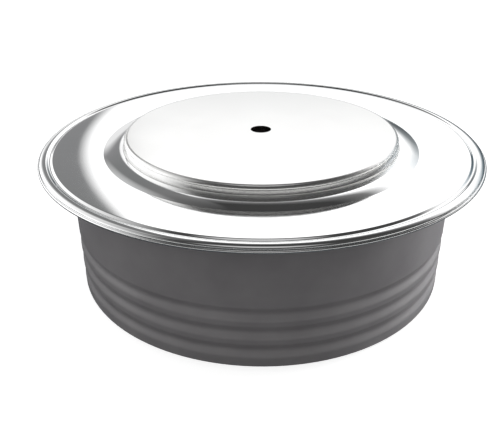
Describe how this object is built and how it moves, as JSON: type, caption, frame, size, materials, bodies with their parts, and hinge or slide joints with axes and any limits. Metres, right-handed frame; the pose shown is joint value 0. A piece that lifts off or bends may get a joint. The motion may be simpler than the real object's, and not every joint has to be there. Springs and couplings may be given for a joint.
{
  "type": "disc thyristor",
  "caption": "Round press-pack power semiconductor: flat metal contact faces on both ends, a wide welded rim and a grooved grey ceramic ring, with a gate tab at its side.",
  "frame": {"origin": "centre of the anode contact face, at the mouth of its centring hole", "axes": "+Z along the axis from the anode face to the cathode face, +Y towards the gate tab"},
  "size_m": [0.075, 0.0779, 0.026],
  "materials": {
    "nickel_pole": "satin nickel plate on turned copper",
    "bright_sheet": "bright nickel-plated sheet",
    "grey_ceramic": "thin satin glaze",
    "silicon": "polished dark grey",
    "molybdenum": "lapped matt",
    "silver_foil": "rolled soft silver",
    "seal_rubber": "cast silicone rubber",
    "white_plastic": "waxy white",
    "spring_bronze": "drawn wire",
    "contact_silver": "silver plate",
    "lead_copper": "bare drawn copper",
    "terminal_tin": "tinned"
  },
  "bodies": {
    "root": {"cathode_pole": "nickel_pole", "cathode_lid": "bright_sheet", "weld_ring": "bright_sheet", "ceramic_ring": "grey_ceramic", "anode_flange": "bright_sheet", "anode_pole": "nickel_pole", "silicon_wafer": "silicon", "anode_disc": "molybdenum", "cathode_disc": "molybdenum", "anode_foil": "silver_foil", "cathode_foil": "silver_foil", "edge_seal": "seal_rubber", "centring_ring": "white_plastic", "gate_sleeve": "white_plastic", "gate_spring": "spring_bronze", "gate_pin": "contact_silver", "gate_lead": "lead_copper", "lead_sleeve": "white_plastic", "gate_tube": "terminal_tin", "gate_terminal": "terminal_tin", "cathode_terminal": "terminal_tin"}
  },
  "joints": []
}
